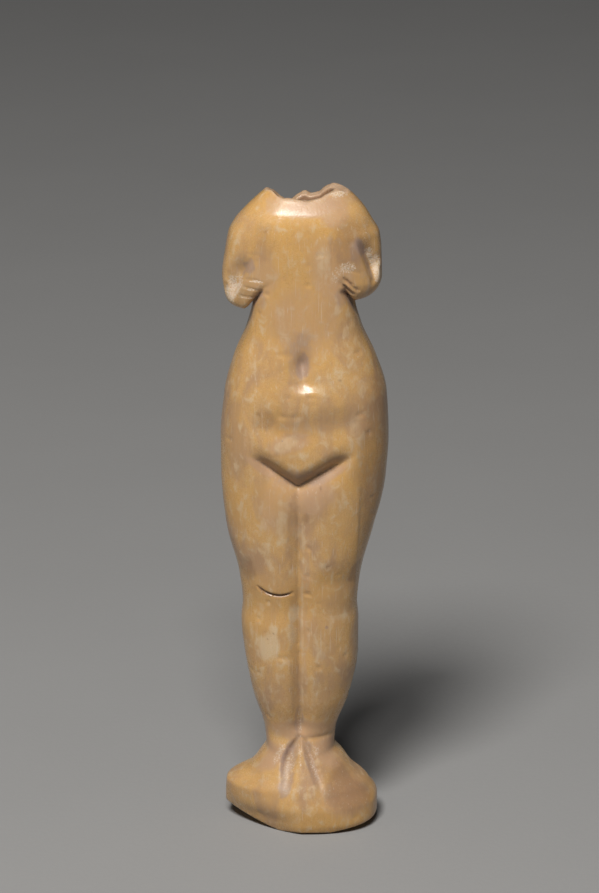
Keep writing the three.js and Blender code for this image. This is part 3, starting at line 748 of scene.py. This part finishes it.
class Nodes:
    """A material's node tree, filled in by short calls."""

    def __init__(self, material):
        material.use_nodes = True
        self.tree = material.node_tree
        self.shader = self.tree.nodes["Principled BSDF"]

    def add(self, kind, inputs=None, **settings):
        node = self.tree.nodes.new(kind)
        for name, value in settings.items():
            setattr(node, name, value)
        for name, value in (inputs or {}).items():
            self.feed(node.inputs[name], value)
        return node

    def feed(self, socket, value):
        if isinstance(value, bpy.types.NodeSocket):
            self.tree.links.new(value, socket)
        else:
            socket.default_value = value

    def set(self, name, value):
        self.feed(self.shader.inputs[name], value)

    def noise(self, where, size, detail=3.0, rough=0.55, warp=0.0, stretch=1.0):
        """Noise whose bumps are about size across and stretch times as long upwards, from 0 to 1."""
        scale = (1 / size, 1 / size, 1 / (size * stretch))
        mapping = self.add("ShaderNodeMapping", {"Vector": where, "Scale": scale})
        inputs = {"Vector": mapping.outputs["Vector"], "Scale": 1.0, "Detail": detail, "Roughness": rough}
        return self.add("ShaderNodeTexNoise", {**inputs, "Distortion": warp}).outputs["Fac"]

    def mark(self, name):
        """A mark that the mesh carries: 0 where it is missing and about 1 where it is strong."""
        return self.add("ShaderNodeAttribute", attribute_name=name).outputs["Fac"]

    def math(self, operation, a, b=0.0, clamp=False):
        return self.add("ShaderNodeMath", {0: a, 1: b}, operation=operation, use_clamp=clamp).outputs[0]

    def plus(self, base, value, part, clamp=False):
        """The base with a part of the value on top."""
        return self.math("ADD", base, self.math("MULTIPLY", value, part), clamp)

    def ramp(self, value, low, high, out_low=0.0, out_high=1.0):
        """The value taken from the range low to high, smoothly, and laid on the range out_low to out_high."""
        inputs = {"Value": value, "From Min": low, "From Max": high, "To Min": out_low, "To Max": out_high}
        return self.add("ShaderNodeMapRange", inputs, interpolation_type="SMOOTHSTEP").outputs["Result"]

    def mix(self, factor, a, b):
        node = self.add("ShaderNodeMix", data_type="RGBA")
        for place, value in ((0, factor), (6, a), (7, b)):
            self.feed(node.inputs[place], value)
        return node.outputs[2]


def colour(value):
    return (*value, 1.0)


def surface_noises(n, where):
    """The noises of the surface, each with the size of its bumps in metres."""
    clouds = n.noise(where, 0.0085, detail=4.0, rough=0.6, warp=0.9, stretch=1.7)
    drift = n.noise(where, 0.017, detail=2.0, rough=0.5, warp=0.5, stretch=1.3)
    mottle = n.noise(where, 0.0017, detail=4.0, rough=0.62, warp=0.5, stretch=1.5)
    streaks = n.noise(where, 0.0012, detail=3.0, rough=0.65, stretch=9.0)
    grain = n.noise(where, 0.00042, detail=2.0, rough=0.6, stretch=14.0)
    specks = n.noise(where, 0.0003, detail=2.0, rough=0.6)
    return clouds, drift, mottle, streaks, grain, specks


def small_pits(n, where):
    """Round pits, gathered in some places and missing in others."""
    cells = n.add("ShaderNodeTexVoronoi", {"Vector": where, "Scale": 230.0, "Randomness": 1.0}, feature="F1")
    size = n.ramp(n.noise(where, 0.006, detail=1.0), 0.45, 0.75, 0.0, 0.085)
    return n.math("LESS_THAN", cells.outputs["Distance"], size)


def fine_scratches(n, where):
    """Upright scratches, and others that cross them."""
    turned = {"Vector": where, "Rotation": (0.3, 1.2, 0.4), "Scale": (3800.0, 3800.0, 130.0)}
    across = n.add("ShaderNodeMapping", turned).outputs["Vector"]
    crossing = n.add("ShaderNodeTexNoise", {"Vector": across, "Scale": 1.0, "Detail": 1.0}).outputs["Fac"]
    upright = n.noise(where, 0.00022, detail=1.0, rough=0.4, stretch=30.0)
    return n.math("ADD", n.ramp(crossing, 0.68, 0.76), n.ramp(upright, 0.7, 0.8), clamp=True)


def carving_material(colours):
    """The polished surface: clouded ochre and pink, upright grain, patina in the hollows, pale deposits, and
    dark marks that are partly stains and mostly painted shade.
    """
    material = bpy.data.materials.new("Polished carving")
    n = Nodes(material)
    where = n.add("ShaderNodeTexCoord").outputs["Object"]
    clouds, drift, mottle, streaks, grain, specks = surface_noises(n, where)
    uneven_specks = n.math("SUBTRACT", specks, 0.5)
    edge = n.plus(n.math("MULTIPLY", mottle, 0.6), streaks, 0.4)
    broken = n.mark("broken")
    pits = small_pits(n, where)
    scratches = fine_scratches(n, where)
    chalk = n.ramp(n.plus(n.mark("deposit"), uneven_specks, 2.6), 0.4, 1.3, 0.0, 0.8)

    def spread(name, sharp, most):
        """A mark from the mesh, its border broken up by the clouds."""
        strength = n.plus(n.mark(name), n.math("SUBTRACT", edge, 0.5), 2.2)
        return n.ramp(strength, 0.5 - sharp, 0.5 + sharp, 0.0, most)

    def soft(name, most):
        """A mark from the mesh with no border, thinned here and there by the clouds."""
        through = n.plus(edge, n.mark(name), 0.5)
        return n.math("MULTIPLY", n.ramp(through, 0.45, 0.85, 0.0, most), n.mark(name))

    # Each layer of colour over the clouded base: its strength and its colour, from the lowest up.
    layers = [
        (n.ramp(drift, 0.46, 0.62, 0.0, 0.75), colours.honey),
        (n.ramp(mottle, 0.5, 0.7, 0.0, 0.65), colours.pale),
        (n.ramp(mottle, 0.46, 0.26, 0.0, 0.3), colours.rose),
        (n.ramp(streaks, 0.58, 0.82, 0.0, 0.14), colours.pale),
        (n.ramp(streaks, 0.44, 0.2, 0.0, 0.1), colours.dark),
        (n.ramp(grain, 0.3, 0.7, 0.06, 0.0), colours.dark),
        (soft("pink", 0.95), colours.rose_grey),
        (spread("pale", 0.45, 0.85), colours.pale),
        # Painted shade for the most part, with a few small stains: the dark places and the knife cuts.
        (soft("dark", 0.8), colours.dark),
        (n.math("MULTIPLY", n.mark("worn"), 0.25), colours.honey),
        (soft("patina", 0.95), colours.patina),
        (n.math("MULTIPLY", broken, n.ramp(mottle, 0.3, 0.7, 0.6, 0.95)), colours.broken),
        # Painted shade at the bottom of the neck hollow.
        (n.mark("inside"), colours.dark),
        (chalk, colours.chalk),
        (n.math("MULTIPLY", pits, 0.55), colours.patina),
        (n.math("MULTIPLY", scratches, 0.3), colours.chalk),
    ]
    base = n.mix(n.ramp(clouds, 0.4, 0.64, 0.0, 0.95), colour(colours.ochre), colour(colours.rose))
    for strength, layer in layers:
        base = n.mix(strength, base, colour(layer))
    n.set("Base Color", base)

    rough = n.ramp(clouds, 0.3, 0.7, 0.24, 0.36)
    for value, part in (
        (n.math("SUBTRACT", mottle, 0.5), 0.16),
        (chalk, 0.7),
        (n.mark("pink"), 0.16),
        (n.mark("patina"), 0.3),
        (uneven_specks, 0.3),
        (broken, 0.22),
    ):
        rough = n.plus(rough, value, part)
    n.set("Roughness", n.plus(rough, scratches, 0.12, clamp=True))

    unpolished = n.math("MAXIMUM", n.math("MAXIMUM", chalk, broken), n.math("MULTIPLY", n.mark("pink"), 0.45))
    height = n.math("MULTIPLY", grain, 0.12)
    for value, part in (
        (streaks, 0.12),
        (mottle, 0.5),
        (scratches, -0.1),
        (pits, -0.5),
        (n.math("MULTIPLY", specks, unpolished), 0.4),
    ):
        height = n.plus(height, value, part)
    bump = n.add("ShaderNodeBump", {"Height": height, "Strength": 0.55, "Distance": 0.00022})
    n.set("Normal", bump.outputs["Normal"])

    n.set("Subsurface Weight", 0.12)
    n.set("Subsurface Radius", (1.0, 0.55, 0.28))
    n.set("Subsurface Scale", 0.0006)
    n.set("Coat Weight", n.ramp(n.math("ADD", chalk, n.mark("patina")), 0.1, 0.7, 0.2, 0.0))
    n.set("Coat Roughness", 0.2)
    n.set("IOR", 1.5)
    return material


def floor_material(shade):
    """The pale floor, with the faintest unevenness of paper."""
    material = bpy.data.materials.new("Pale floor")
    n = Nodes(material)
    where = n.add("ShaderNodeTexCoord").outputs["Object"]
    cloud = n.noise(where, 0.05, detail=4.0)
    fleck = n.noise(where, 0.0012, detail=2.0)
    darker = tuple(0.94 * part for part in shade)
    n.set("Base Color", n.mix(cloud, colour(shade), colour(darker)))
    n.set("Roughness", n.ramp(fleck, 0.2, 0.8, 0.75, 0.9))
    bump = n.add("ShaderNodeBump", {"Height": fleck, "Strength": 0.15, "Distance": 0.0002})
    n.set("Normal", bump.outputs["Normal"])
    return material


def amount(name, description, default, **more):
    return FloatProperty(name=name, description=description, default=default, min=0.0, **more)


def length(name, description, default):
    return amount(name, description, default, unit="LENGTH", precision=5)


def angle(name, description, degrees):
    default = math.radians(degrees)
    return FloatProperty(name=name, description=description, default=default, subtype="ANGLE")


def vector(name, description, default, **more):
    return FloatVectorProperty(name=name, description=description, default=default, **more)


def position(name, description, default):
    return vector(name, description, default, subtype="XYZ", unit="LENGTH")


def tint(name, description, default):
    return vector(name, description, default, subtype="COLOR", min=0.0, max=1.0)


class FigurineSizes(bpy.types.PropertyGroup):
    """Depths of the carving and the fineness of the surface."""

    spacing: length("Spacing", "Distance between the grid lines of the surface", 0.00038)
    hand_spacing: length("Hand spacing", "Distance between the level grid lines at the hands", 0.0003)
    arm_hollow_depth: length("Arm hollows", "Depth of the hollows inside the arms", 0.0016)
    belly_cut_depth: length("Belly cut", "Depth of the cut under the belly", 0.0026)
    leg_valley_depth: length("Leg valley", "Depth of the valley between the legs", 0.0014)
    navel_depth: length("Navel", "Depth of the navel", 0.0019)
    flank_cut_depth: length("Flank cuts", "Depth of the cuts below the arms", 0.0019)
    hand_waves: length("Hand waves", "Height of the low waves that hand polishing leaves", 0.00009)


class FigurineColours(bpy.types.PropertyGroup):
    """Colours of the carved surface."""

    ochre: tint("Ochre", "Main colour of the polished surface", (0.585, 0.352, 0.138))
    honey: tint("Honey", "Warmer drifts in the main colour", (0.60, 0.345, 0.11))
    rose: tint("Rose", "Pinkish clouds in the main colour", (0.435, 0.268, 0.148))
    rose_grey: tint("Rose grey", "Worn places where the polish is gone", (0.49, 0.305, 0.18))
    pale: tint("Pale", "Pale patches and streaks", (0.62, 0.46, 0.28))
    # Besides stains and the darker grain, this colour serves for painted shade: the dark places, the knife
    # cuts and the bottom of the neck hollow.
    dark: tint("Dark", "Stains and the darker grain", (0.22, 0.115, 0.055))
    patina: tint("Patina", "Greyish patina in the hollows", (0.33, 0.225, 0.175))
    broken: tint("Broken", "The broken surface of the neck", (0.50, 0.34, 0.225))
    chalk: tint("Chalk", "Pale deposit in the hollows", (0.70, 0.59, 0.47))


class StageSettings(bpy.types.PropertyGroup):
    """The floor, the light and the camera."""

    floor_size: length("Floor size", "Width of the floor", 6.0)
    floor_colour: tint("Floor colour", "Colour of the floor", (0.3, 0.3, 0.3))
    key_power: amount("Key power", "Power of the main light in watts", 10.5)
    key_width: length("Key width", "Width of the main light", 0.3)
    key_side: angle("Key side", "How far left of the camera the main light is", 20)
    key_height: angle("Key height", "Height of the main light over the floor", 56)
    front_power: amount("Front power", "Power of the small light in front in watts", 2.3)
    front_width: length("Front width", "Width of the small light in front", 0.15)
    front_side: angle("Front side", "How far left of the camera the small light in front is", -1)
    front_height: angle("Front height", "Height of the small light in front over the floor", 52)
    fill_power: amount("Fill power", "Power of the wide light on the left in watts", 0.3)
    fill_width: length("Fill width", "Width of the wide light on the left", 0.9)
    fill_side: angle("Fill side", "How far left of the camera the wide light is", 62)
    fill_height: angle("Fill height", "Height of the wide light over the floor", 28)
    sky_strength: amount("Sky strength", "Strength of the even light all round", 0.028)
    camera_lens: amount("Lens", "Focal length of the camera in millimetres", 150.0)
    camera_distance: length("Camera distance", "Distance from the camera to the figure", 0.7193)
    camera_height: angle("Camera height", "Angle from which the camera looks down", 20)
    camera_target: position("Camera target", "The point the camera looks at", (-0.00039, 0.0, 0.07754))


def new_object(name, data):
    """An object in the scene that shows the data."""
    piece = bpy.data.objects.new(name, data)
    bpy.context.scene.collection.objects.link(piece)
    return piece


def direction(side, height):
    """The way from the figure to something left of its front by one angle and above the floor by another."""
    return Vector((-math.sin(side) * math.cos(height), -math.cos(side) * math.cos(height), math.sin(height)))


def hang_light(stage, name):
    """Hang a soft round light a metre from the figure's middle."""
    setting = name.lower()
    light = bpy.data.lights.new(name, "AREA")
    light.shape = "DISK"
    light.energy = getattr(stage, setting + "_power")
    light.size = getattr(stage, setting + "_width")
    light.color = LIGHT_COLOUR
    lamp = new_object(name, light)
    towards = direction(getattr(stage, setting + "_side"), getattr(stage, setting + "_height"))
    lamp.location = Vector((0, 0, FIGURE_HEIGHT * LIGHT_AIM)) + towards
    lamp.rotation_euler = towards.to_track_quat("Z", "Y").to_euler()


class FIGURINE_OT_carve(bpy.types.Operator):
    """Carve the figurine and finish its surface"""

    bl_idname = "figurine.carve"
    bl_label = "Carve the figurine"

    def execute(self, context):
        sizes = context.scene.figurine_sizes
        gap, hand_gap = sizes.spacing / SHARE, sizes.hand_spacing / SHARE
        low, high = (np.array(corner) / SHARE for corner in NODE_BOX)
        bands = ((), (), [(start, end, hand_gap) for start, end in FINE_BANDS])
        lines = [
            grid_lines(low[n] - GRID_MARGIN, high[n] + GRID_MARGIN, gap * GRID_STRETCH[n], bands[n])
            for n in range(3)
        ]
        carving = Carving(sizes)
        points, quads = carved_surface(carving, lines)
        if not len(quads):
            raise RuntimeError("the grid doesn't meet the figure")
        marks = finish_marks(carving, points)
        points = np.clip(points * SHARE, NODE_BOX[0], NODE_BOX[1])

        mesh = bpy.data.meshes.new("Figurine carving")
        mesh.from_pydata(points.tolist(), [], quads.tolist())
        mesh.validate()
        mesh.polygons.foreach_set("use_smooth", np.ones(len(mesh.polygons), bool))
        for name, strength in marks.items():
            mesh.attributes.new(name, "FLOAT", "POINT").data.foreach_set("value", strength.astype(np.float32))
        mesh.materials.append(carving_material(context.scene.figurine_colours))
        piece = new_object("Figurine", mesh)
        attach(piece, BODY_NAME)
        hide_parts(NODE_NAME)
        return {"FINISHED"}


class FIGURINE_OT_stage(bpy.types.Operator):
    """Lay the floor, hang the light and place the camera"""

    bl_idname = "figurine.stage"
    bl_label = "Set the stage"

    def execute(self, context):
        stage = context.scene.figurine_stage
        half = stage.floor_size / 2
        corners = [(-half, -half, 0), (half, -half, 0), (half, half, 0), (-half, half, 0)]
        mesh = bpy.data.meshes.new("Floor")
        mesh.from_pydata(corners, [], [(0, 1, 2, 3)])
        mesh.materials.append(floor_material(tuple(stage.floor_colour)))
        new_object("Floor", mesh)

        world = bpy.data.worlds.new("Studio")
        world.use_nodes = True
        background = world.node_tree.nodes["Background"]
        background.inputs["Color"].default_value = colour(SKY_COLOUR)
        background.inputs["Strength"].default_value = stage.sky_strength
        context.scene.world = world
        context.scene.view_settings.view_transform = "Standard"

        for name in ("Key", "Front", "Fill"):
            hang_light(stage, name)

        camera_data = bpy.data.cameras.new("Camera")
        camera_data.lens = stage.camera_lens
        camera_data.sensor_width = SENSOR_WIDTH
        camera_data.clip_start, camera_data.clip_end = 0.01, 20.0
        camera = new_object("Camera", camera_data)
        back = direction(0, stage.camera_height)
        camera.location = Vector(stage.camera_target) + back * stage.camera_distance
        camera.rotation_euler = back.to_track_quat("Z", "Y").to_euler()
        context.scene.camera = camera
        return {"FINISHED"}


class FIGURINE_PT_panel(bpy.types.Panel):
    """The sizes, the colours and the stage, with a button for each operator"""

    bl_label = "Carved figurine"
    bl_idname = "FIGURINE_PT_panel"
    bl_space_type = "VIEW_3D"
    bl_region_type = "UI"
    bl_category = "Figurine"

    def draw(self, context):
        scene = context.scene
        groups = (
            (scene.figurine_sizes, FIGURINE_OT_carve),
            (scene.figurine_colours, None),
            (scene.figurine_stage, FIGURINE_OT_stage),
        )
        for group, operator in groups:
            box = self.layout.box()
            for name in group.__annotations__:
                box.prop(group, name)
            if operator:
                box.operator(operator.bl_idname)


CLASSES = (
    FigurineSizes,
    FigurineColours,
    StageSettings,
    FIGURINE_OT_carve,
    FIGURINE_OT_stage,
    FIGURINE_PT_panel,
)


def register():
    for item in CLASSES:
        bpy.utils.register_class(item)
    bpy.types.Scene.figurine_sizes = PointerProperty(type=FigurineSizes)
    bpy.types.Scene.figurine_colours = PointerProperty(type=FigurineColours)
    bpy.types.Scene.figurine_stage = PointerProperty(type=StageSettings)


def unregister():
    del bpy.types.Scene.figurine_stage
    del bpy.types.Scene.figurine_colours
    del bpy.types.Scene.figurine_sizes
    for item in reversed(CLASSES):
        bpy.utils.unregister_class(item)


def main():
    register()
    bpy.ops.figurine.stage()
    bpy.ops.figurine.carve()


if __name__ == "__main__":
    main()
